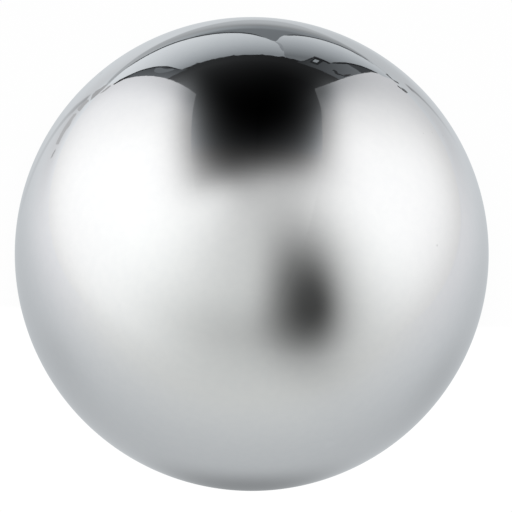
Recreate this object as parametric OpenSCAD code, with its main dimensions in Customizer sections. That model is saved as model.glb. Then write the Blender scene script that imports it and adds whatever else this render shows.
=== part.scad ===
// Polished steel ball: one solid ball, ground and lapped all over.
// The origin is the ball's centre, and +Z is up. Sizes are in millimetres.

/* [Ball] */
// Diameter of the finished ball
ball_d = 50.8; // [6.35:0.05:101.6]

/* [Hidden] */

// Segments round the ball's outline
$fn = 180;

// The whole ball is one piece, with no bore, flat or seam.
module ball() {
    color("silver")
        sphere(d = ball_d);
}

ball();
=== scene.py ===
"""A polished steel ball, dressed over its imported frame, in a small paper-lined studio.

The ball's centre is the origin and +Z is up. The studio is laid out in ball radii, so that it follows
the ball if its size changes. Angles are in degrees unless a comment says otherwise.
"""

import logging
import math
from collections.abc import Sequence
from dataclasses import dataclass
from enum import Enum

import bmesh
import bpy
import numpy as np
from bpy.types import Material
from bpy.types import NodeSocket
from bpy.types import Object
from mathutils import Matrix
from mathutils import Vector
from numpy import ndarray


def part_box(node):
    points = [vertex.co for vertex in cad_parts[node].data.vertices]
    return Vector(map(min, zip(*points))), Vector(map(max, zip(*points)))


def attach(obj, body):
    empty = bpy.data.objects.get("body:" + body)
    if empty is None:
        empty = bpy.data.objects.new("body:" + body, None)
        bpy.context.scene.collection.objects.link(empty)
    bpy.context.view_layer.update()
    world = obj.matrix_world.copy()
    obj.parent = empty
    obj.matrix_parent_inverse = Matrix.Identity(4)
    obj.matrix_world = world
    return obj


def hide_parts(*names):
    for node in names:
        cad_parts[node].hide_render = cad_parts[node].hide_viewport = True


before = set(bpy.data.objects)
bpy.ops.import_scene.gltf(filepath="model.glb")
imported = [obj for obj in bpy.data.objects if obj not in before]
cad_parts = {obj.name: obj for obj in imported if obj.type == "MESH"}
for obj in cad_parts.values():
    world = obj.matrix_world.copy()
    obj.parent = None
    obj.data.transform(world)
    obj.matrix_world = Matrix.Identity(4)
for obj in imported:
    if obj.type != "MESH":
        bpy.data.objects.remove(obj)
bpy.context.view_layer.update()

LOG = logging.getLogger("steel_ball")
TONE_LAYER = "tone"
Polyline = Sequence[tuple[float, float]]
Value = float | ndarray

# Places in the studio and the step between layers that lie one behind another, in ball radii.
FLOOR_LEVEL = -1.0
LEFT_WALL = -5.8
RIGHT_WALL = 4.8
BACK_WALL = 10.0
LAYER_GAP = 0.02

# New points on each span of a smooth line, and limits that keep the sums below within range.
CURVE_STEPS = 8
EXPONENT_LIMIT = 30.0
TINY = 1e-9


class Node(Enum):
    """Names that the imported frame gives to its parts."""

    BALL = "ball"
    BODY = "root"
    STEEL = "polished_steel"


class Side(Enum):
    """The two long sides of the studio, as the camera sees them."""

    LEFT = "left"
    RIGHT = "right"


class Surface(Enum):
    """Studio surfaces that small pieces lie on: the level axis, its place, and the way it faces."""

    FLOOR = (2, FLOOR_LEVEL, 1.0)
    LEFT_SHEET = (0, LEFT_WALL, 1.0)
    RIGHT_SHEET = (0, RIGHT_WALL, -1.0)


def smooth_step(low: float, high: float, value: ndarray) -> ndarray:
    """Eases from 0 at low to 1 at high."""
    share = np.clip((value - low) / (high - low), 0.0, 1.0)
    return share * share * (3.0 - 2.0 * share)


def between(first: Value, second: Value, share: Value) -> Value:
    """Runs from the first value to the second as the share goes from 0 to 1."""
    return first + (second - first) * share


def fall(away: Value, reach: Value, power: float = 2) -> Value:
    """Falls from 1 at no distance to nearly 0 past the reach, more sharply with more power."""
    return np.exp(-((away / reach) ** power))


def smooth_line(points: Polyline) -> Polyline:
    """Runs a smooth curve through a few points.

    Args:
        points: Points that the curve passes through.

    Returns:
        The points of the smooth curve.
    """
    ends = [points[0], *points, points[-1]]
    line = []
    for first, second, third, fourth in zip(ends, ends[1:], ends[2:], ends[3:]):
        a, b, c, d = (np.array(point) for point in (first, second, third, fourth))
        for step in range(CURVE_STEPS):
            t = step / CURVE_STEPS
            bend = 2 * b + (c - a) * t + (2 * a - 5 * b + 4 * c - d) * t**2
            spot = 0.5 * (bend + (3 * b - a - 3 * c + d) * t**3)
            line.append((float(spot[0]), float(spot[1])))
    return [*line, points[-1]]


def trimmed(line: Polyline, head: int, tail: int) -> Polyline:
    """A line without its first few and last few points."""
    return line[head : len(line) - tail]


def spread(stops: Sequence[float], steps: Sequence[int]) -> ndarray:
    """Even steps across spans in a row, from the spans' ends and the number of steps in each."""
    spans = [np.linspace(low, high, count + 1)[1:] for low, high, count in zip(stops, stops[1:], steps)]
    return np.concatenate([[stops[0]], *spans])


@dataclass(frozen=True)
class View:
    """Places as the ball's centre sees them."""

    spots: ndarray

    def unit(self) -> ndarray:
        """Unit direction of each place."""
        return self.spots / np.linalg.norm(self.spots, axis=-1, keepdims=True)

    def azimuth(self) -> ndarray:
        """Compass angle of each place in degrees, 0 behind the ball and + to its right."""
        return np.degrees(np.arctan2(self.spots[..., 0], self.spots[..., 1]))

    def elevation(self) -> ndarray:
        """Angle of each place above the horizon, in degrees."""
        return np.degrees(np.arctan2(self.spots[..., 2], np.hypot(self.spots[..., 0], self.spots[..., 1])))


@dataclass(frozen=True)
class SheetGlow:
    """The broad glow of one lit paper side, as the ball sees it."""

    azimuth: float
    elevation: float
    level: float
    spread: float
    reach_up: float
    reach_down: float
    power: float

    def at(self, view: View) -> ndarray:
        """Light that this side adds.

        Args:
            view: Places seen from the ball's centre.

        Returns:
            Added light at each place.
        """
        facing = 0.5 + 0.5 * np.cos(np.radians(view.azimuth() - self.azimuth))
        along = smooth_step(0.0, 1.0, facing**self.spread)
        rise = view.elevation() - self.elevation
        reach = np.where(rise > 0.0, self.reach_up, self.reach_down)
        return self.level * along * fall(np.abs(rise), reach, self.power)


@dataclass(frozen=True)
class OverheadGap:
    """The unlit opening above and behind the ball, between the two side sheets.

    Its sides are turned round the studio's long axis from straight up. Each side's edge and softness run
    from one value in front to another at the back.
    """

    left: float = 29.7
    left_back: float = 35.2
    left_soft: float = 2.88
    left_soft_back: float = 1.95
    right: float = 28.1
    right_back: float = 36.8
    right_soft: float = 2.55
    right_soft_back: float = 1.85
    least_soft: float = 0.5
    front: float = -8.14
    front_soft: float = 2.97
    front_skew: float = 0.237
    corner: float = 0.37
    tail: float = 0.677

    def at(self, view: View) -> ndarray:
        """How far each place lies inside the opening.

        Args:
            view: Places seen from the ball's centre.

        Returns:
            1 well inside the opening, 0 well outside.
        """
        unit = view.unit()
        x, y, z = unit[..., 0], unit[..., 1], unit[..., 2]
        across = np.degrees(np.arctan2(x, z))
        along = np.degrees(np.arctan2(y, z))
        back = np.clip(y, 0.0, 1.0)
        left = x < 0.0
        left_edge = between(self.left, self.left_back, back)
        right_edge = between(self.right, self.right_back, back)
        left_soft = between(self.left_soft, self.left_soft_back, back)
        right_soft = between(self.right_soft, self.right_soft_back, back)
        edge = np.where(left, left_edge, right_edge)
        soft = np.maximum(np.where(left, left_soft, right_soft), self.least_soft)
        beside = np.clip((np.abs(across) - edge) / soft, -EXPONENT_LIMIT, EXPONENT_LIMIT)
        before = (self.front - along + self.front_skew * across) / self.front_soft
        before = np.clip(before, -EXPONENT_LIMIT, EXPONENT_LIMIT)
        lit = (np.exp(self.corner * beside) + np.exp(self.corner * before)) ** (self.tail / self.corner)
        return np.where(z > 0.0, 1.0 / (1.0 + lit), 0.0)


@dataclass(frozen=True)
class ScreenGap:
    """The soft dark gap in the front screen, where the paper stops short.

    Its left and right halves differ in width, taper and softness and blend into each other.
    """

    azimuth: float = 150.6
    elevation: float = 19.3
    left_width: float = 14.2
    right_width: float = 21.7
    left_taper: float = -0.006
    right_taper: float = 0.00437
    left_power: float = 0.697
    right_power: float = 1.79
    blend: float = 35.1
    reach_up: float = 35.5
    reach_down: float = 24.9
    lean: float = -0.0911
    depth: float = 0.902

    def at(self, view: View) -> ndarray:
        """Share of the light that the gap takes away.

        Args:
            view: Places seen from the ball's centre.

        Returns:
            Shares from 0 to 1.
        """
        elevation = view.elevation()
        rise = elevation - self.elevation
        turn = view.azimuth() - self.azimuth - self.lean * rise
        turn = (turn + 180.0) % 360.0 - 180.0
        turn = turn * np.cos(np.radians(elevation))
        side = smooth_step(-self.blend, self.blend, turn)
        taper = between(self.left_taper, self.right_taper, side)
        width = between(self.left_width, self.right_width, side)
        power = between(self.left_power, self.right_power, side)
        reach = np.where(rise > 0.0, self.reach_up, self.reach_down)
        far = (turn / (width * np.exp(-taper * rise))) ** 2 + (rise / reach) ** 2
        return self.depth * np.exp(-(far**power))


@dataclass(frozen=True)
class RoomGlow:
    """The faint glow of the dim room, which reaches in from the back edge of the right sheet."""

    azimuth: float = 27.0
    level: float = 0.0573
    reach_low: float = 11.9
    reach_high: float = 6.5
    low: float = 24.0
    high: float = 38.0
    height: float = 30.6

    def at(self, view: View) -> ndarray:
        """Light that the glow adds.

        Args:
            view: Places seen from the ball's centre.

        Returns:
            Added light at each place.
        """
        climb = np.clip(view.elevation() - self.low, 0.0, None)
        reach = between(self.reach_low, self.reach_high, np.clip(climb / (self.high - self.low), 0.0, 1.0))
        inward = np.clip(self.azimuth - view.azimuth(), 0.0, None)
        return self.level * fall(inward, reach, 1) * fall(climb, self.height)


@dataclass(frozen=True)
class SheetEdge:
    """Outline of a side sheet, in ball radii: its back edge bows, and its top edge slopes and sags."""

    wall: float
    back: float
    bow: float
    bow_height: float
    top: float
    slope: float
    sag: float = 0.0
    sag_along: float = 6.0
    sag_reach: float = 1.6

    def back_at(self, height: ndarray) -> ndarray:
        """Where the back edge stands at each height."""
        return self.back + self.bow * (height - self.bow_height) ** 2

    def top_at(self, along: ndarray) -> ndarray:
        """Height of the top edge at each place along the sheet."""
        return self.top + self.slope * along - self.sag * self.sagging_at(along)

    def sagging_at(self, along: ndarray) -> ndarray:
        """How far the top edge has sagged at each place, as a share of the most."""
        return fall(along - self.sag_along, self.sag_reach)


@dataclass(frozen=True)
class BackFade:
    """How a side sheet dims towards its back edge, its top back corner and its top rim, in ball radii."""

    back_start: float
    back_depth: float
    top_start: float
    corner_start: float
    corner_depth: float
    rim_depth: float = 0.0
    rim_width: float = 3.0
    rim_start: float = 0.0
    rim_end: float = 4.0
    lip_depth: float = 0.0
    lip_width: float = 0.4

    def at(self, spots: ndarray, edge: SheetEdge) -> ndarray:
        """Share of the light that is left on the sheet.

        Args:
            spots: Points of the sheet.
            edge: Outline of the sheet.

        Returns:
            The shares. A rim with a depth below 0 is brightened.
        """
        y, z = spots[..., 1], spots[..., 2]
        near_back = self.back_depth * smooth_step(self.back_start, edge.back, y)
        corner = smooth_step(self.corner_start, edge.back, y)
        corner = corner * smooth_step(self.top_start, edge.top, z)
        down = np.clip(edge.top_at(y) - z, 0.0, None)
        rim = self.rim_depth * smooth_step(self.rim_start, self.rim_end, y) * fall(down, self.rim_width, 1)
        lip = self.lip_depth * edge.sagging_at(y) * fall(down, self.lip_width)
        return (1.0 - near_back) * (1.0 - self.corner_depth * corner) * (1.0 - rim) * (1.0 - lip)


@dataclass(frozen=True)
class ContactShade:
    """Shade on the floor round the ball's foot, in ball radii."""

    broad_depth: float = 0.46
    broad_reach: float = 2.15
    broad_power: float = 2.41
    broad_back: float = 0.736
    core_depth: float = 0.465
    core_width: float = 0.43
    core_length: float = 0.31
    core_right: float = 0.03
    core_front: float = -0.655
    core_power: float = 1.35
    touch_depth: float = 0.8
    touch_reach: float = 0.22
    sides: tuple = ((1.4, -0.27, 0.095), (-1.7, -0.45, 0.07))
    side_width: float = 0.55
    side_length: float = 0.42

    def at(self, spots: ndarray) -> ndarray:
        """Share of the light that reaches the floor.

        Args:
            spots: Points of the floor.

        Returns:
            Shares from 0 to 1.
        """
        x, y = spots[..., 0], spots[..., 1]
        away = np.hypot(x, y - self.broad_back)
        broad = self.broad_depth * fall(away, self.broad_reach, self.broad_power)
        beside = (x - self.core_right) / self.core_width
        before = (y - self.core_front) / self.core_length
        core = self.core_depth * np.exp(-((beside**2 + before**2) ** self.core_power))
        touch = self.touch_depth * fall(np.hypot(x, y), self.touch_reach)
        kept = (1.0 - broad) * (1.0 - core) * (1.0 - touch)
        for place_x, place_y, depth in self.sides:
            off = ((x - place_x) / self.side_width) ** 2 + ((y - place_y) / self.side_length) ** 2
            kept = kept * (1.0 - depth * np.exp(-off))
        return kept


@dataclass(frozen=True)
class BehindShade:
    """Soft shade on the floor behind the ball, in ball radii."""

    start: float = 1.08
    end: float = 4.26
    right_depth: float = 0.282
    right_place: float = 0.393
    right_drift: float = 0.275
    right_width: float = 3.0
    left_depth: float = 0.19
    left_place: float = -3.31
    left_width: float = 1.65

    def at(self, spots: ndarray) -> ndarray:
        """Share of the light that reaches the floor.

        Args:
            spots: Points of the floor.

        Returns:
            Shares from 0 to 1.
        """
        x, y = spots[..., 0], spots[..., 1]
        past = smooth_step(self.start, self.end, y)
        right = self.right_depth * past * fall(x - self.right_place - self.right_drift * y, self.right_width)
        left = self.left_depth * past * fall(x - self.left_place, self.left_width)
        return (1.0 - right) * (1.0 - left)


@dataclass(frozen=True)
class StudioLight:
    """All the soft light round the ball."""

    front: float = 0.997
    dip: float = 0.215
    dip_elevation: float = 7.64
    dip_reach: float = 16.2
    left: SheetGlow = SheetGlow(-92.1, 42.9, 0.794, 3.25, 32.6, 52.9, 6.44)
    right: SheetGlow = SheetGlow(85.2, 31.6, 0.754, 4.51, 33.4, 37.6, 3.71)
    gap: OverheadGap = OverheadGap()
    screen_gap: ScreenGap = ScreenGap()
    left_edge: SheetEdge = SheetEdge(LEFT_WALL, 9.9, -0.0075, 7.0, 11.4, -0.045)
    right_edge: SheetEdge = SheetEdge(RIGHT_WALL, 9.65, 0.041, 5.0, 9.2, 0.06, 0.18)
    left_fade: BackFade = BackFade(6.19, 0.131, 0.7, 5.05, 0.329)
    right_fade: BackFade = BackFade(-1.84, 0.184, -1.07, 5.0, 0.525, -0.134, lip_depth=0.2)
    foot: ContactShade = ContactShade()
    rear: BehindShade = BehindShade()
    behind_start: float = -0.358
    behind_end: float = 2.75
    dim_start: float = 0.385
    dim_end: float = 0.869
    gloom: float = 0.0486
    gloom_elevation: float = 27.5
    gloom_reach: float = 9.75
    gloom_power: float = 0.83
    gloom_turn: float = 29.0
    glow: RoomGlow = RoomGlow()

    def lit(self, view: View) -> ndarray:
        """Light of the papers, with no opening cut.

        Args:
            view: Places seen from the ball's centre.

        Returns:
            Light at each place.
        """
        unit = view.unit()
        flat = np.hypot(unit[..., 0], unit[..., 1]) + TINY
        toward = np.clip(0.5 - 0.5 * unit[..., 1] / flat, 0.0, 1.0)
        low = fall(view.elevation() - self.dip_elevation, self.dip_reach)
        light = self.front - self.dip * low * toward**2 + self.left.at(view) + self.right.at(view)
        return light * (1.0 - self.screen_gap.at(view))

    def dark(self, view: View) -> ndarray:
        """Light of the dim room: a low gloom on its left, and a glow that reaches in from its right.

        Args:
            view: Places seen from the ball's centre.

        Returns:
            Light at each place.
        """
        rise = np.clip(view.elevation() - self.gloom_elevation, 0.0, None)
        gloom = self.gloom * fall(rise, self.gloom_reach, self.gloom_power)
        right = smooth_step(-self.gloom_turn, self.gloom_turn, view.azimuth())
        return gloom * (1.0 - right) + self.glow.at(view)

    def room(self, spots: ndarray) -> ndarray:
        """Light of the room shell, which is dark behind and above the sheets.

        Args:
            spots: Points of the shell.

        Returns:
            Light at each point.
        """
        view = View(spots)
        dim = smooth_step(self.dim_start, self.dim_end, view.unit()[..., 1])
        shown = self.lit(view) * (1.0 - self.gap.at(view)) * (1.0 - dim)
        return shown + self.dark(view) * dim

    def sheet(self, spots: ndarray, fade: BackFade, edge: SheetEdge) -> ndarray:
        """Light of a side sheet, whose top edge softens towards the camera.

        Args:
            spots: Points of the sheet.
            fade: How the sheet dims towards the back.
            edge: Outline of the sheet.

        Returns:
            Light at each point.
        """
        view = View(spots)
        behind = smooth_step(self.behind_start, self.behind_end, view.unit()[..., 1])
        opening = self.gap.at(view) * (1.0 - behind)
        return self.lit(view) * (1.0 - opening) * fade.at(spots, edge)

    def floor(self, spots: ndarray) -> ndarray:
        """Light of the floor, before anything that lies on it."""
        return self.lit(View(spots)) * self.foot.at(spots) * self.rear.at(spots)


@dataclass(frozen=True)
class PaperTint:
    """Colour of the studio's light: a little warm in front, cooler behind, coolest low and in dim places."""

    screen: tuple = (0.98, 1.0, 0.985)
    cool: tuple = (0.99, 1.0, 1.028)
    deep: tuple = (0.955, 1.0, 1.037)
    dim: tuple = (0.92, 1.0, 1.068)
    low_level: float = -0.9
    floor_start: float = -3.5
    floor_end: float = 0.5
    wall_start: float = 3.0
    wall_end: float = 9.5
    near: float = 1.0
    far: float = 4.5
    behind_start: float = 2.0
    behind_end: float = 8.0
    dim_end: float = 1.0
    dim_span: float = 0.75

    def on(self, tone: ndarray, spots: ndarray) -> ndarray:
        """Colours a grey light.

        Args:
            tone: Light at each point.
            spots: The points.

        Returns:
            Red, green and blue light at each point.
        """
        x, y, z = spots[..., 0], spots[..., 1], spots[..., 2]
        low = 1.0 - smooth_step(FLOOR_LEVEL, self.low_level, z)
        start = np.where(low > 0.0, self.floor_start, self.wall_start)
        end = np.where(low > 0.0, self.floor_end, self.wall_end)
        cool = smooth_step(start, end, y)
        close = 1.0 - smooth_step(self.near, self.far, np.abs(x))
        behind = smooth_step(self.behind_start, self.behind_end, y)
        dim = 1.0 - smooth_step(0.0, self.dim_end, tone)
        deep = cool * np.maximum(low * np.maximum(close, behind), dim)
        toward = np.clip(-View(spots).unit()[..., 1], 0.0, 1.0)
        colour = 1.0 + (np.array(self.screen) - 1.0) * toward[:, None]
        colour = colour + (np.array(self.cool) - 1.0) * cool[:, None]
        return tone[:, None] * between(colour, np.array(self.deep), deep[:, None])

    def behind(self, tone: ndarray) -> ndarray:
        """Colours the light of the sheets behind the ball, which is cooler where it is dim."""
        share = np.clip((1.0 - tone) / self.dim_span, 0.0, 1.0)[:, None]
        return tone[:, None] * between(np.array(self.deep), np.array(self.dim), share)


@dataclass
class FinishNodes:
    """Adds the nodes of a finish."""

    tree: bpy.types.NodeTree

    def fill(self, node: bpy.types.Node, inputs: dict) -> None:
        """Sets or links some inputs of a node.

        Args:
            node: The node.
            inputs: A value or another node's output for each input, by name or number.
        """
        for socket, value in inputs.items():
            if isinstance(value, NodeSocket):
                self.tree.links.new(value, node.inputs[socket])
            else:
                node.inputs[socket].default_value = value

    def add(self, kind: str, inputs: dict, **options: str) -> bpy.types.Node:
        """Adds one node.

        Args:
            kind: Its type, without the word that every type starts with.
            inputs: A value or another node's output for each input, by name or number.
            **options: The node's own choices, made before its inputs are filled.

        Returns:
            The node.
        """
        node = self.tree.nodes.new("ShaderNode" + kind)
        for option, choice in options.items():
            setattr(node, option, choice)
        self.fill(node, inputs)
        return node

    def scaled(self, value: NodeSocket, factor: float | NodeSocket) -> NodeSocket:
        """Scales a vector or a colour by a number or another node's output."""
        return self.add("VectorMath", {0: value, "Scale": factor}, operation="SCALE").outputs["Vector"]

    def noise(self, place: NodeSocket, scale: float, detail: float) -> NodeSocket:
        """Adds a noise of so many waves to a ball radius, with so many finer layers."""
        return self.add("TexNoise", {"Vector": place, "Scale": scale, "Detail": detail}).outputs["Fac"]

    def span(self, value: NodeSocket, before: tuple, after: tuple) -> NodeSocket:
        """Eases one range of values into another.

        Args:
            value: The value.
            before: Its range.
            after: The new range.

        Returns:
            The new value's socket.
        """
        ends = {"From Min": before[0], "From Max": before[1], "To Min": after[0], "To Max": after[1]}
        node = self.add("MapRange", {"Value": value, **ends}, interpolation_type="SMOOTHSTEP")
        return node.outputs["Result"]


@dataclass(frozen=True)
class PaperGlow:
    """Finish of a studio sheet: it glows with the light stored on its points."""

    name: str = "studio_paper"

    def build(self) -> Material:
        """Makes the finish.

        Returns:
            The finish's material.
        """
        material = bpy.data.materials.new(self.name)
        material.use_nodes = True
        material.node_tree.nodes.clear()
        nodes = FinishNodes(material.node_tree)
        tone = nodes.add("Attribute", {}, attribute_name=TONE_LAYER)
        glow = nodes.add("Emission", {"Color": tone.outputs["Color"]})
        nodes.add("OutputMaterial", {"Surface": glow.outputs["Emission"]})
        return material


@dataclass(frozen=True)
class Speck:
    """A tiny spot on the steel: where it lies on the ball, its size, and what it does to the tone."""

    place: tuple
    size: float
    tone: float


@dataclass(frozen=True)
class PolishedSteel:
    """Finish of the ball: through-hardened steel, lapped to a mirror.

    A mirror ball is nearly even: the finish adds a slight haze that drifts over the surface,
    a very fine mottle, crossing lapping lines too shallow to see at arm's length, and a few specks.
    The turns of the lapping lines are in radians.
    """

    unit: float
    name: str = "polished_steel"
    colour: tuple = (0.572, 0.574, 0.576, 1.0)
    hazy: tuple = (0.563, 0.566, 0.57, 1.0)
    metallic: float = 1.0
    smooth: float = 0.022
    dull: float = 0.04
    haze_scale: float = 2.2
    haze_detail: float = 3.0
    haze_span: tuple = (0.35, 0.7)
    mottle_scale: float = 26.0
    mottle_detail: float = 4.0
    mottle_span: tuple = (0.3, 0.7)
    line_scale: float = 60.0
    line_stretch: float = 14.0
    line_detail: float = 2.0
    line_turns: tuple = ((0.3, 0.2, 0.9), (1.3, 0.7, 2.2))
    line_height: float = 2e-5
    speck_core: float = 0.4
    specks: tuple = (
        Speck((-0.66, 0.39, 0.64), 0.012, -0.35),
        Speck((-0.51, 0.33, 0.8), 0.01, 0.1),
        Speck((0.75, -0.41, 0.52), 0.006, -0.2),
        Speck((0.68, 0.02, 0.73), 0.005, -0.12),
        Speck((0.72, 0.07, 0.69), 0.005, -0.1),
        Speck((0.77, 0.12, 0.63), 0.006, -0.12),
        Speck((0.35, -0.92, -0.14), 0.03, 0.02),
    )

    def build(self) -> Material:
        """Makes the finish.

        Returns:
            The finish's material.
        """
        material = bpy.data.materials.new(self.name)
        material.use_nodes = True
        nodes = FinishNodes(material.node_tree)
        place = nodes.add("TexCoord", {}).outputs["Object"]
        radii = nodes.scaled(place, 1.0 / self.unit)
        haze = nodes.noise(radii, self.haze_scale, self.haze_detail)
        mottle = nodes.noise(radii, self.mottle_scale, self.mottle_detail)
        share = nodes.span(mottle, self.mottle_span, (0.0, 1.0))
        blend = {"Factor": share, "A": self.colour, "B": self.hazy}
        colour = nodes.add("Mix", blend, data_type="RGBA").outputs["Result"]
        for speck in self.specks:
            colour = self.spot(nodes, radii, colour, speck)
        surface = {
            "Metallic": self.metallic,
            "Roughness": nodes.span(haze, self.haze_span, (self.smooth, self.dull)),
            "Base Color": colour,
            "Normal": self.lines(nodes, radii),
        }
        nodes.fill(material.node_tree.nodes["Principled BSDF"], surface)
        return material

    def spot(self, nodes: FinishNodes, place: NodeSocket, colour: NodeSocket, speck: Speck) -> NodeSocket:
        """Lays one speck over the colour.

        Args:
            nodes: The finish's nodes.
            place: Place on the ball, in radii.
            colour: The colour so far.
            speck: The speck.

        Returns:
            The new colour's socket.
        """
        centre = Vector(speck.place).normalized()
        away = nodes.add("VectorMath", {0: place, 1: centre}, operation="DISTANCE").outputs["Value"]
        edge = (speck.size * self.speck_core, speck.size)
        return nodes.scaled(colour, nodes.span(away, edge, (1.0 + speck.tone, 1.0)))

    def lines(self, nodes: FinishNodes, place: NodeSocket) -> NodeSocket:
        """Adds the crossing lapping lines as a very shallow relief.

        Args:
            nodes: The finish's nodes.
            place: Place on the ball, in radii.

        Returns:
            The normal's socket.
        """
        stretch = (1.0, self.line_stretch, 1.0)
        heights = {}
        for number, turn in enumerate(self.line_turns):
            drawn = nodes.add("Mapping", {"Vector": place, "Rotation": turn, "Scale": stretch})
            scale = self.line_scale / self.line_stretch
            heights[number] = nodes.noise(drawn.outputs["Vector"], scale, self.line_detail)
        both = nodes.add("Math", heights, operation="ADD").outputs["Value"]
        depth = self.line_height * self.unit
        relief = nodes.add("Bump", {"Strength": 1.0, "Distance": depth, "Height": both})
        return relief.outputs["Normal"]


@dataclass
class SteelBall:
    """The ball, one solid piece ground and lapped all over."""

    radius: float
    centre: Vector
    cuts: int = 96
    name: str = "steel_ball"
    piece: Object | None = None

    def mesh(self) -> Object:
        """Builds the ball from a fine cube grid pressed out to the true sphere.

        Returns:
            The ball's object.
        """
        grid = bmesh.new()
        bmesh.ops.create_cube(grid, size=2.0)
        bmesh.ops.subdivide_edges(grid, edges=grid.edges[:], cuts=self.cuts - 1, use_grid_fill=True)
        eighth_turn = math.pi / 4.0
        for point in grid.verts:
            even = Vector(math.tan(share * eighth_turn) for share in point.co)
            point.co = even.normalized() * self.radius + self.centre
        for face in grid.faces:
            face.smooth = True
        mesh = bpy.data.meshes.new(self.name)
        grid.to_mesh(mesh)
        grid.free()
        self.piece = bpy.data.objects.new(self.name, mesh)
        bpy.context.scene.collection.objects.link(self.piece)
        return self.piece

    def dress(self) -> None:
        """Gives the ball its finish and ties it to the frame."""
        self.piece.data.materials.append(PolishedSteel(self.radius).build())
        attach(self.piece, Node.BODY.value)
        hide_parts(Node.BALL.value)


@dataclass
class Stage:
    """Places the studio's surfaces, which are made in ball radii and glow with the light of their points."""

    unit: float
    finish: Material

    def place(self, name: str, spots: ndarray, faces: list, light: ndarray) -> Object:
        """Makes a surface that shows only in the ball.

        Args:
            name: Name of the new object.
            spots: Points in ball radii.
            faces: Point numbers of each face.
            light: Red, green and blue light of each point.

        Returns:
            The new object.
        """
        mesh = bpy.data.meshes.new(name)
        mesh.from_pydata((spots * self.unit).tolist(), [], faces)
        layer = mesh.color_attributes.new(TONE_LAYER, "FLOAT_COLOR", "POINT")
        values = np.ones((len(spots), 4), dtype=np.float32)
        values[:, :3] = light
        layer.data.foreach_set("color", values.ravel())
        mesh.materials.append(self.finish)
        made = bpy.data.objects.new(name, mesh)
        bpy.context.scene.collection.objects.link(made)
        made.visible_camera = False
        made.visible_shadow = False
        return made

    def lay(self, name: str, grid: ndarray, light: ndarray) -> Object:
        """Makes a surface from a grid of points.

        Args:
            name: Name of the new object.
            grid: Points in ball radii, as rows, columns and three coordinates.
            light: Red, green and blue light of each point, row by row.

        Returns:
            The new object.
        """
        rows, columns = grid.shape[:2]
        start = np.arange(rows - 1)[:, None] * columns + np.arange(columns - 1)[None, :]
        corners = np.stack([start, start + 1, start + columns + 1, start + columns], axis=-1)
        return self.place(name, grid.reshape(-1, 3), corners.reshape(-1, 4).tolist(), light)


@dataclass
class RoomShell:
    """The dim room round the studio."""

    light: StudioLight
    radius: float = 40.0
    rows: int = 181
    columns: int = 361

    def mesh(self, stage: Stage) -> Object:
        """Builds the room shell.

        Args:
            stage: Where it is placed.

        Returns:
            The room shell.
        """
        azimuth = np.radians(np.linspace(-180.0, 180.0, self.columns))
        elevation = np.radians(np.linspace(-90.0, 90.0, self.rows))
        up, turn = np.meshgrid(elevation, azimuth, indexing="ij")
        grid = np.stack([np.cos(up) * np.sin(turn), np.cos(up) * np.cos(turn), np.sin(up)], axis=-1)
        grid = grid * self.radius
        spots = grid.reshape(-1, 3)
        return stage.lay("room_shell", grid, PaperTint().on(self.light.room(spots), spots))


@dataclass
class SideSheet:
    """One of the two white sheets that stand beside the ball."""

    light: StudioLight
    side: Side
    front: float = -24.0
    rows: int = 121
    columns: int = 281

    def mesh(self, stage: Stage) -> Object:
        """Builds the sheet.

        Args:
            stage: Where it is placed.

        Returns:
            The sheet.
        """
        left = self.side is Side.LEFT
        edge = self.light.left_edge if left else self.light.right_edge
        fade = self.light.left_fade if left else self.light.right_fade
        back, rise = np.meshgrid(np.linspace(0.0, 1.0, self.columns), np.linspace(0.0, 1.0, self.rows))
        height = between(FLOOR_LEVEL, edge.top_at(between(self.front, edge.back, back)), rise)
        along = between(self.front, edge.back_at(height), back)
        grid = np.stack([np.full(along.shape, edge.wall), along, height], axis=-1)
        spots = grid.reshape(-1, 3)
        tone = self.light.sheet(spots, fade, edge)
        return stage.lay("side_sheet_" + self.side.value, grid, PaperTint().on(tone, spots))


@dataclass(frozen=True)
class FloorShadowLine:
    """A soft line of painted shadow on the floor, such as the one along the lifted edge of a sheet.

    Its width is a share of the distance from the ball, and both width and depth run
    evenly from the line's start to its end.
    """

    path: tuple
    width: tuple
    depth: tuple
    power: int = 4

    def at(self, spots: ndarray) -> ndarray:
        """Share of the light that the line leaves.

        Args:
            spots: Points of the floor.

        Returns:
            Shares from 0 to 1.
        """
        nearest = np.full(len(spots), np.inf)
        along = np.zeros(len(spots))
        flat = spots[:, :2]
        corners = np.array(self.path)
        lengths = np.linalg.norm(np.diff(corners, axis=0), axis=1)
        passed = 0.0
        for start, end, length in zip(corners, corners[1:], lengths):
            way = end - start
            share = np.clip((flat - start) @ way / (way @ way), 0.0, 1.0)
            away = np.linalg.norm(flat - start - share[:, None] * way, axis=1)
            closer = away < nearest
            nearest = np.where(closer, away, nearest)
            along = np.where(closer, (passed + share * length) / lengths.sum(), along)
            passed += length
        reach = between(*self.width, along) * (np.hypot(flat[:, 0], flat[:, 1]) + TINY)
        return 1.0 - between(*self.depth, along) * fall(nearest, reach, self.power)


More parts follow.
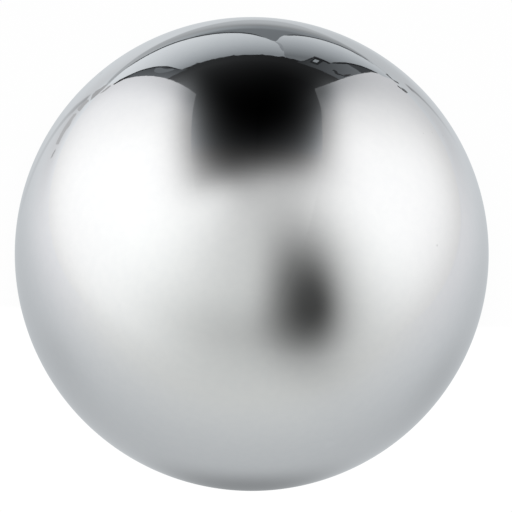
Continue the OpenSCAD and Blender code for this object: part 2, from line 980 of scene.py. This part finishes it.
@dataclass(frozen=True)
class ShadedCorner:
    """The shaded stretch of floor between the ball and the curled sheets."""

    edge: tuple = (
        (-6.4, 10.4), (-5.2, 8.7), (-4.3, 7.6), (-3.6, 7.3), (-2.9, 7.0), (-2.3, 6.6), (-1.5, 6.1),
        (-1.1, 5.65), (-0.8, 5.35), (-0.5, 5.0), (-0.3, 4.7), (-0.1, 4.5), (0.1, 4.5), (0.3, 4.7),
        (0.5, 5.1), (0.8, 5.75), (1.3, 6.6), (1.9, 7.5), (2.5, 8.15), (3.0, 8.6), (3.6, 10.2), (5.0, 14.0),
    )
    softness: float = 0.3
    near: float = 0.6
    far: float = 0.36
    far_left: float = 0.07
    far_right: float = 0.04
    fall_start: float = 6.0
    fall_end: float = 9.3

    def mix(self, spots: ndarray, tone: ndarray) -> ndarray:
        """Shades the floor.

        Args:
            spots: Points of the floor.
            tone: Light of the open floor at each point.

        Returns:
            Light with the shade in place.
        """
        x, y = spots[:, 0], spots[:, 1]
        line_x, line_y = zip(*self.edge)
        past = y - np.interp(x, line_x, line_y)
        inside = smooth_step(-self.softness, self.softness, past)
        inside = inside * (x > line_x[0]) * (x < line_x[-1])
        far = self.far + self.far_left * np.clip(-x, 0.0, None) + self.far_right * np.clip(x, 0.0, None)
        shade = between(self.near, far, smooth_step(self.fall_start, self.fall_end, y))
        return tone * (1.0 - inside) + shade * inside


@dataclass
class MirroredFloor:
    """The floor as the ball mirrors it. Its grid is finest near the ball's foot and behind the ball."""

    light: StudioLight
    rings: tuple = (0.02, 0.5, 12.0, 38.0)
    ring_steps: tuple = (22, 124, 15)
    turns: tuple = (-180.0, -60.0, 60.0, 180.0)
    turn_steps: tuple = (96, 360, 96)
    corner: ShadedCorner = ShadedCorner()
    # Painted shadow lines along the lifted edges of the sheets on the floor.
    lines: tuple = (
        FloorShadowLine(
            ((-1.6, 1.3), (-1.8, 1.65), (-2.0, 2.2), (-2.2, 2.8), (-2.5, 3.5), (-2.75, 3.9), (-3.05, 4.5),
             (-3.4, 5.1)),
            (0.05, 0.018), (0.03, 0.42),
        ),
        FloorShadowLine(((-4.2, 10.0), (-4.45, 9.3), (-4.75, 8.7), (-5.2, 8.3)), (0.03, 0.03), (0.25, 0.35)),
        FloorShadowLine(
            ((2.65, 5.2), (2.5, 4.9), (2.3, 4.2), (2.2, 3.7), (2.05, 3.0), (1.95, 2.5)),
            (0.018, 0.03), (0.55, 0.0),
        ),
        FloorShadowLine(((2.6, 10.0), (2.95, 9.5), (3.3, 9.1), (3.8, 8.8)), (0.03, 0.03), (0.4, 0.1)),
    )

    def mesh(self, stage: Stage) -> Object:
        """Builds the floor disc.

        Args:
            stage: Where it is placed.

        Returns:
            The mirrored floor.
        """
        reach = np.concatenate([[0.0], np.exp(spread(np.log(self.rings), self.ring_steps))])
        turn = np.radians(spread(self.turns, self.turn_steps))
        far, turn = np.meshgrid(reach, turn, indexing="ij")
        level = np.full(far.shape, FLOOR_LEVEL)
        grid = np.stack([far * np.sin(turn), far * np.cos(turn), level], axis=-1)
        spots = grid.reshape(-1, 3)
        tone = self.corner.mix(spots, self.light.floor(spots))
        for line in self.lines:
            tone = tone * line.at(spots)
        return stage.lay("mirrored_floor", grid, PaperTint().on(tone, spots))


@dataclass
class PaleFloor:
    """The pale floor that the camera sees, with the ball's soft shadow on it.

    Its rings follow the oval of floor that the ball hides from the camera. The shadow is dark
    at the touching point, fades across the oval and leaves a faint shade past its far edge.
    """

    reach: float = 120.0
    bright: float = 1.03
    core: float = 0.2
    core_depth: float = 0.65
    oval_centre: float = 0.966
    oval_squash: float = 0.719
    shadow_depth: float = 0.75
    shadow_power: float = 1.5
    shadow_edge: float = 4.0
    rear_depth: float = 0.035
    shade_depth: float = 0.07
    shade_width: float = 0.05
    shade_line: float = 0.56
    shade_soft: float = 0.02
    inner_rings: int = 61
    outer_rings: int = 90
    first_ring: float = 0.004
    columns: int = 541

    def shadow(self, far: ndarray, x: ndarray, y: ndarray) -> ndarray:
        """Share of the light that reaches the floor.

        Args:
            far: How far out each point lies, 1 on the rim of the hidden oval.
            x: Places across the floor.
            y: Places along it, away from the camera.

        Returns:
            Shares from 0 to 1.
        """
        away = np.hypot(x, y)
        core = self.core_depth * fall(away, self.core)
        inside = np.clip(1.0 - far**self.shadow_edge, 0.0, None)
        broad = self.shadow_depth * inside / (1.0 + away**2) ** self.shadow_power
        soft = self.shade_soft + np.clip(1.0 - far, 0.0, None)
        shade = self.shade_depth * fall(np.clip(far - 1.0, 0.0, None), self.shade_width, 1)
        shade = (shade + self.rear_depth) * smooth_step(-1.0, 1.0, (y - self.shade_line) / soft)
        return (1.0 - core) * (1.0 - broad) * (1.0 - shade)

    def mesh(self, stage: Stage) -> Object:
        """Builds the floor.

        Args:
            stage: Where it is placed.

        Returns:
            The floor.
        """
        inner = np.linspace(0.0, 1.0, self.inner_rings)
        rings = np.concatenate([inner, 1.0 + np.geomspace(self.first_ring, self.reach, self.outer_rings)])
        turn = np.radians(np.linspace(-180.0, 180.0, self.columns))
        far, turn = np.meshgrid(rings, turn, indexing="ij")
        x = far * np.sin(turn)
        y = self.oval_centre + far * np.cos(turn) / self.oval_squash
        grid = np.stack([x, y, np.full(far.shape, FLOOR_LEVEL)], axis=-1)
        tone = self.bright * self.shadow(far, x, y)
        made = stage.lay("pale_floor", grid, tone.reshape(-1, 1))
        made.visible_camera = True
        made.visible_glossy = False
        return made


@dataclass(frozen=True)
class SheetTone:
    """How light lies on an upright sheet: it changes with height and across the sheet."""

    foot: float
    slope: float = 0.0
    bend: float = 0.0
    least: float = 0.0
    tilt: float = 0.0
    middle: float = 0.0

    def at(self, x: ndarray, z: ndarray) -> ndarray:
        """Light at each place across the sheet and up it."""
        tone = self.foot + self.slope * z + self.bend * z * z + self.tilt * (x - self.middle)
        return np.maximum(tone, self.least)


@dataclass(frozen=True)
class BoardTone:
    """How light lies on the board behind the sheets: a lighter strip along its foot."""

    high: float = 0.26
    low: float = 0.36
    left: float = 0.075
    step_low: float = -0.65
    step_high: float = 0.0

    def at(self, x: ndarray, z: ndarray) -> ndarray:
        """Light at each place across the board and up it."""
        strip = self.low + self.left * np.clip(-x, 0.0, None)
        return between(strip, self.high, smooth_step(self.step_low, self.step_high, z))


@dataclass(frozen=True)
class Fill:
    """A flat upright shape between two lines."""

    first: Polyline
    second: Polyline
    steps: int = 80

    def rows(self) -> ndarray:
        """Points of the shape, in rows from the first line to the second.

        Returns:
            Points as rows, columns and two coordinates.
        """
        columns = max(len(self.first), len(self.second))
        ends = []
        for line in (self.first, self.second):
            points = np.array(line)
            passed = np.concatenate([[0.0], np.cumsum(np.linalg.norm(np.diff(points, axis=0), axis=1))])
            even = np.linspace(0.0, passed[-1], columns)
            ends.append(np.stack([np.interp(even, passed, points[:, k]) for k in range(2)], axis=-1))
        share = np.linspace(0.0, 1.0, self.steps)[:, None, None]
        return ends[0][None] * (1.0 - share) + ends[1][None] * share


@dataclass(frozen=True)
class Band:
    """A narrow upright band that follows a line, wide in the middle and pointed at its ends."""

    path: Polyline
    width: float
    taper: int = 4

    def rows(self) -> ndarray:
        """Points of the band's two edges.

        Returns:
            Points as two rows, columns and two coordinates.
        """
        points = np.array(self.path)
        way = np.gradient(points, axis=0)
        across = np.stack([-way[:, 1], way[:, 0]], axis=-1)
        across = across / np.linalg.norm(across, axis=1)[:, None]
        share = np.linspace(0.0, 1.0, len(points))
        swell = 1.0 - (2.0 * share - 1.0) ** self.taper
        reach = across * (swell * self.width / 2.0)[:, None]
        return np.stack([points - reach, points + reach])


def box(left: float, right: float, foot: float, top: float) -> Fill:
    """An upright rectangle."""
    return Fill(((left, foot), (right, foot)), ((left, top), (right, top)))


@dataclass(frozen=True)
class Patch:
    """One flat piece behind the ball: its shape, how far behind the back wall it stands, and its light."""

    name: str
    shape: Fill | Band
    depth: float
    tone: SheetTone | BoardTone

    def mesh(self, stage: Stage) -> Object:
        """Builds the patch.

        Args:
            stage: Where it is placed.

        Returns:
            The patch.
        """
        rows = self.shape.rows()
        x, z = rows[..., 0], rows[..., 1]
        grid = np.stack([x, np.full(x.shape, BACK_WALL + self.depth), z], axis=-1)
        return stage.lay(self.name, grid, PaperTint().behind(self.tone.at(x, z).ravel()))


@dataclass(frozen=True)
class CurledSheets:
    """The two curled sheets behind the ball. Each trim is the points left out at a line's two ends."""

    left_tone: SheetTone = SheetTone(1.01, -0.052, -0.0147, 0.38, -0.022, -2.0)
    right_tone: SheetTone = SheetTone(0.87, -0.12, -0.0045, 0.24, -0.067, 1.5)
    # The foot bands are painted shadow along the curled feet of the sheets.
    foot_shadow_tone: SheetTone = SheetTone(0.08)
    # The side bands, laid behind the sheets, are painted shade along their sides.
    side_shade_tone: SheetTone = SheetTone(0.03)
    fold_tone: SheetTone = SheetTone(0.68, -0.085, 0.0, 0.2)
    left_foot_shadow_width: float = 0.27
    left_foot_shadow_trim: tuple = (8, 16)
    right_foot_shadow_width: float = 0.2
    right_foot_shadow_trim: tuple = (26, 0)
    left_side_shade_width: float = 0.32
    right_side_shade_width: float = 0.4
    right_side_shade_trim: tuple = (9, 1)
    fold_width: float = 0.16
    fold_shift: float = 0.04
    fold_trim: tuple = (18, 0)
    left_bottom: tuple = (
        (-7.2, -1.6), (-5.4, -1.2), (-4.4, -0.93), (-3.6, -0.7), (-2.8, -0.45), (-2.35, -0.22), (-1.85, 0.0),
        (-1.4, 0.25), (-0.9, 0.57), (-0.35, 1.08), (0.15, 1.8), (0.45, 2.22), (0.62, 2.36),
    )
    left_side: tuple = (
        (-7.2, -0.9), (-6.2, -0.18), (-5.9, 0.12), (-5.57, 0.76), (-5.27, 1.37), (-5.0, 2.15),
        (-4.87, 2.68), (-4.77, 3.25), (-4.7, 3.9), (-4.67, 4.5), (-4.58, 5.03),
    )
    crease: tuple = (
        (1.38, 4.95), (1.27, 4.65), (1.18, 4.1), (1.06, 3.55), (0.94, 3.0), (0.82, 2.65), (0.62, 2.36),
    )
    right_bottom: tuple = (
        (0.62, 2.36), (0.69, 2.05), (0.74, 1.45), (0.81, 1.0), (1.02, 0.53), (1.24, 0.17), (1.7, -0.27),
        (2.16, -0.57), (2.55, -0.79), (3.4, -0.97), (4.6, -1.2),
    )
    right_side: tuple = (
        (1.45, 4.98), (1.68, 5.02), (1.83, 4.93), (1.98, 5.0), (2.24, 4.98), (2.4, 4.75), (2.52, 4.2),
        (2.6, 3.7), (2.6, 3.45), (3.48, 3.4), (3.53, 3.05), (3.6, 2.75), (3.72, 2.19), (3.85, 1.73),
        (4.1, 0.95), (4.42, 0.35), (4.55, 0.12), (5.2, -0.5),
    )
    notches: tuple = ((-3.53, 0.13), (-2.64, 0.1), (-1.85, 0.04), (-1.42, 0.14), (0.12, 0.16), (1.23, 0.11))
    notch_width: float = 0.1
    torn_height: float = 5.07
    torn_slope: float = -0.01
    torn_steps: int = 160
    ripple: float = 0.03
    ripple_pace: float = 9.0

    def torn_edge(self) -> Polyline:
        """The torn top edge of the left sheet, with a slight ripple and a few notches.

        Returns:
            Its points.
        """
        start, end = self.left_side[-1][0], self.crease[0][0]
        line = []
        for x in np.linspace(start, end, self.torn_steps):
            height = self.torn_height + self.torn_slope * (x - start)
            height += self.ripple * math.sin(self.ripple_pace * x)
            for place, depth in self.notches:
                height -= depth * fall(x - place, self.notch_width)
            line.append((float(x), float(height)))
        return line

    def patches(self) -> list[Patch]:
        """The sheets, the painted shadow along their curled feet, and the painted shade along their fold and
        sides.

        Returns:
            The patches.
        """
        crease = smooth_line(self.crease)
        left_foot = smooth_line(self.left_bottom)
        right_foot = smooth_line(self.right_bottom)
        left_side = smooth_line(self.left_side)
        right_edge = [(x - LAYER_GAP, z) for x, z in crease + right_foot]
        left = Fill(left_foot + crease[::-1], left_side + self.torn_edge())
        right = Fill(right_edge, self.right_side)
        left_foot_shadow = Band(trimmed(left_foot, *self.left_foot_shadow_trim), self.left_foot_shadow_width)
        right_foot_shadow = Band(trimmed(right_foot, *self.right_foot_shadow_trim), self.right_foot_shadow_width)
        fold = [(x - self.fold_shift, z) for x, z in trimmed(crease, *self.fold_trim)]
        right_side_shade = smooth_line(trimmed(self.right_side, *self.right_side_shade_trim))
        front, back = -LAYER_GAP, 2.0 * LAYER_GAP
        return [
            Patch("curled_sheet_left", left, 0.0, self.left_tone),
            Patch("curled_sheet_right", right, LAYER_GAP, self.right_tone),
            # Painted shadow along the feet of the sheets.
            Patch("left_foot_shadow", left_foot_shadow, front, self.foot_shadow_tone),
            Patch("right_foot_shadow", right_foot_shadow, front, self.foot_shadow_tone),
            Patch("fold_shade", Band(fold, self.fold_width), front, self.fold_tone),
            # Painted shade along the sides of the sheets.
            Patch("left_side_shade", Band(left_side, self.left_side_shade_width), back, self.side_shade_tone),
            Patch("right_side_shade", Band(right_side_shade, self.right_side_shade_width), back, self.side_shade_tone),
        ]


@dataclass(frozen=True)
class ShadedBoard:
    """The shaded board that shows between the feet of the sheets."""

    tone: BoardTone = BoardTone()
    depth: float = 0.15
    foot: tuple = ((-4.6, -1.0), (4.2, -1.0))
    top: tuple = (
        (-4.6, -0.9), (-3.0, -0.3), (-1.2, 0.8), (0.0, 1.9), (0.58, 2.6), (0.85, 1.9), (1.4, 0.5),
        (2.6, -0.4), (4.2, -0.95),
    )

    def patches(self) -> list[Patch]:
        """The board."""
        return [Patch("shaded_board", Fill(self.foot, smooth_line(self.top)), self.depth, self.tone)]


@dataclass(frozen=True)
class SideGaps:
    """The dim gaps beside the curled sheets. Each box is its left side, right side, foot and top."""

    far: float = 0.4
    left_box: tuple = (-6.8, -4.5, -0.6, 5.6)
    left_tone: SheetTone = SheetTone(0.09, 0.018, 0.0, 0.06, -0.09, -5.6)
    band_path: tuple = ((-5.0, 4.6), (-5.4, 4.0), (-5.45, 3.3), (-5.25, 2.6))
    band_width: float = 0.5
    band_tone: SheetTone = SheetTone(0.24)
    right_box: tuple = (2.2, 5.4, 2.15, 5.6)
    right_tone: SheetTone = SheetTone(0.27, -0.03, 0.0, 0.05, 0.05, 4.2)
    foot_box: tuple = (3.4, 5.4, -0.8, 2.15)
    foot_tone: SheetTone = SheetTone(0.08)
    mark_path: tuple = ((4.2, 4.7), (4.25, 4.45), (4.4, 4.6), (4.6, 4.85), (4.75, 4.65), (5.2, 4.45))
    mark_width: float = 0.24
    mark_tone: SheetTone = SheetTone(0.045)

    def patches(self) -> list[Patch]:
        """The gaps, a lighter band in the left one and a small mark in the right one.

        Returns:
            The patches.
        """
        before = self.far - LAYER_GAP
        band = Band(smooth_line(self.band_path), self.band_width)
        mark = Band(smooth_line(self.mark_path), self.mark_width)
        return [
            Patch("left_gap", box(*self.left_box), self.far, self.left_tone),
            Patch("left_gap_band", band, before, self.band_tone),
            Patch("right_gap", box(*self.right_box), self.far, self.right_tone),
            Patch("right_gap_foot", box(*self.foot_box), self.far, self.foot_tone),
            Patch("gap_mark", mark, before, self.mark_tone),
        ]


@dataclass(frozen=True)
class SmallClip:
    """The small clip at the right sheet's upper corner. Each box is as in the gaps."""

    frame_box: tuple = (2.67, 3.16, 3.5, 4.72)
    bar_box: tuple = (2.59, 3.5, 3.38, 3.7)
    face_box: tuple = (2.75, 2.99, 3.84, 4.36)
    frame_tone: SheetTone = SheetTone(0.03)
    face_tone: SheetTone = SheetTone(0.42)
    side_path: tuple = ((2.62, 3.6), (2.53, 4.2), (2.4, 4.9))
    side_width: float = 0.1
    side_tone: SheetTone = SheetTone(0.045)

    def patches(self) -> list[Patch]:
        """The clip's dark frame, bar and side, and the lighter face inside its frame.

        Returns:
            The patches.
        """
        side = Band(smooth_line(self.side_path), self.side_width)
        return [
            Patch("clip_frame", box(*self.frame_box), -LAYER_GAP, self.frame_tone),
            Patch("clip_bar", box(*self.bar_box), -LAYER_GAP, self.frame_tone),
            Patch("clip_side", side, -LAYER_GAP, self.side_tone),
            Patch("clip_face", box(*self.face_box), -2.0 * LAYER_GAP, self.face_tone),
        ]


@dataclass(frozen=True)
class PaperScrap:
    """A small flat scrap or mark, lying on the floor or against a side sheet."""

    name: str
    surface: Surface
    tone: float
    outline: tuple
    tint: tuple = (0.985, 0.993, 1.012)
    lift: float = 0.012

    def mesh(self, stage: Stage) -> Object:
        """Builds the scrap.

        Args:
            stage: Where it is placed.

        Returns:
            The scrap.
        """
        axis, place, facing = self.surface.value
        spots = np.insert(np.array(self.outline), axis, place + facing * self.lift, axis=1)
        return stage.place(self.name, spots, [list(range(len(spots)))], self.tone * np.array(self.tint))


@dataclass(frozen=True)
class Scraps:
    """The small torn scraps and marks that lie round the feet of the sheets.

    An outline on the floor runs across and back, and one against a side sheet runs back and up.
    """

    pieces: tuple = (
        PaperScrap("scrap_chip", Surface.FLOOR, 0.64, (
            (-3.65, 3.1), (-3.7, 3.3), (-3.85, 3.5), (-4.0, 3.65), (-4.05, 3.6), (-3.95, 3.35),
        )),
        PaperScrap("scrap_long", Surface.FLOOR, 0.71, (
            (-3.4, 3.35), (-3.3, 3.5), (-3.2, 3.7), (-3.25, 4.2), (-3.7, 4.75), (-4.0, 5.0), (-3.9, 4.7),
            (-4.2, 4.8), (-4.25, 4.7), (-4.05, 4.4), (-4.0, 4.15), (-4.1, 3.9), (-3.75, 3.6),
        )),
        PaperScrap("scrap_short", Surface.FLOOR, 0.67, (
            (-3.15, 4.3), (-3.25, 4.6), (-3.4, 5.0), (-4.0, 5.8), (-4.5, 6.35), (-4.3, 5.9), (-4.3, 5.5),
            (-3.7, 4.85),
        )),
        PaperScrap("scrap_foot", Surface.FLOOR, 0.6, (
            (-3.75, 5.75), (-3.7, 5.9), (-4.2, 6.8), (-4.5, 7.5), (-4.75, 8.0), (-5.6, 9.4), (-5.75, 9.1),
            (-5.6, 8.4), (-5.3, 7.65), (-4.85, 6.85),
        )),
        PaperScrap("scrap_wall", Surface.LEFT_SHEET, 0.6, (
            (8.6, -0.85), (8.95, -0.65), (9.35, -0.55), (9.05, -0.25), (8.7, -0.35), (8.5, -0.5),
        )),
        PaperScrap("gap_tip", Surface.LEFT_SHEET, 0.03, (
            (9.1, 0.0), (9.25, -0.2), (9.75, 0.0), (10.0, 0.4), (10.0, 1.0), (9.65, 0.6),
        )),
        PaperScrap("gap_notch", Surface.RIGHT_SHEET, 0.05, (
            (10.0, 3.4), (9.8, 3.95), (9.95, 4.3), (10.3, 4.3),
        )),
        PaperScrap("mark_long", Surface.FLOOR, 0.12, (
            (3.85, 8.7), (4.2, 9.2), (4.35, 9.05), (3.75, 7.6), (4.1, 8.1), (4.6, 9.3), (4.79, 10.2),
            (4.45, 10.1),
        )),
        PaperScrap("mark_wall", Surface.RIGHT_SHEET, 0.02, (
            (9.1, -0.68), (9.05, -0.8), (8.8, -0.95), (8.45, -0.99), (8.4, -0.93), (8.55, -0.75),
            (8.85, -0.6),
        )),
        PaperScrap("mark_short", Surface.FLOOR, 0.2, (
            (4.6, 8.7), (4.25, 7.9), (4.2, 7.5), (4.79, 8.5), (4.79, 9.1),
        )),
    )


@dataclass
class StudioCamera:
    """The camera, above and in front of the ball, with a long lens."""

    unit: float
    centre: Vector
    elevation: float = 46.0
    roll: float = 2.4
    distance: float = 16.0
    lens: float = 266.1
    sensor: float = 36.0
    aim_right: float = 0.018
    aim_up: float = -0.0085
    nearest: float = 1.0
    farthest: float = 200.0

    def build(self) -> Object:
        """Makes the camera and gives it to the scene.

        Returns:
            The camera.
        """
        rise = math.radians(self.elevation)
        turn = math.radians(self.roll)
        back = Vector((0.0, -math.cos(rise), math.sin(rise)))
        level = Vector((1.0, 0.0, 0.0))
        upright = back.cross(level)
        right = level * math.cos(turn) + upright * math.sin(turn)
        up = back.cross(right)
        place = self.centre + back * self.distance * self.unit
        aim = self.centre + (right * self.aim_right + up * self.aim_up) * self.unit
        back = (place - aim).normalized()
        right = up.cross(back).normalized()
        up = back.cross(right)
        data = bpy.data.cameras.new("studio_camera")
        data.lens = self.lens
        data.sensor_width = self.sensor
        data.clip_start = self.unit * self.nearest
        data.clip_end = self.unit * self.farthest
        camera = bpy.data.objects.new("studio_camera", data)
        axes = Matrix((right, up, back)).transposed()
        camera.matrix_world = Matrix.Translation(place) @ axes.to_4x4()
        bpy.context.scene.collection.objects.link(camera)
        bpy.context.scene.camera = camera
        return camera


@dataclass
class Backdrop:
    """The even white light behind everything that the camera sees."""

    colour: tuple = (1.0, 1.0, 1.0, 1.0)
    level: float = 1.0

    def build(self) -> bpy.types.World:
        """Sets the world and a plain tone curve.

        Returns:
            The world.
        """
        scene = bpy.context.scene
        world = bpy.data.worlds.new("white_backdrop")
        world.use_nodes = True
        surface = {"Color": self.colour, "Strength": self.level}
        FinishNodes(world.node_tree).fill(world.node_tree.nodes["Background"], surface)
        scene.world = world
        scene.view_settings.view_transform = "Standard"
        return world


def main() -> None:
    """Builds the camera, the ball and the studio, in that order."""
    logging.basicConfig(level=logging.INFO, format="%(name)s: %(message)s")
    low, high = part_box(Node.BALL.value)
    centre = Vector((0.0, 0.0, 0.0))
    radius = min(abs(reach) for reach in (*low, *high))
    camera = StudioCamera(radius, centre).build()
    LOG.info("%s: placed", camera.name)
    ball = SteelBall(radius, centre)
    piece = ball.mesh()
    ball.dress()
    LOG.info("%s: %d faces on body %s", piece.name, len(piece.data.polygons), Node.BODY.value)
    LOG.info("%s: lit", Backdrop().build().name)
    stage = Stage(radius, PaperGlow().build())
    light = StudioLight()
    studio = [
        RoomShell(light),
        SideSheet(light, Side.LEFT),
        SideSheet(light, Side.RIGHT),
        MirroredFloor(light),
        PaleFloor(),
    ]
    for group in (CurledSheets(), ShadedBoard(), SideGaps(), SmallClip()):
        studio.extend(group.patches())
    studio.extend(Scraps().pieces)
    for surface in studio:
        made = surface.mesh(stage)
        LOG.info("%s: %d faces of stage", made.name, len(made.data.polygons))


if __name__ == "__main__":
    main()
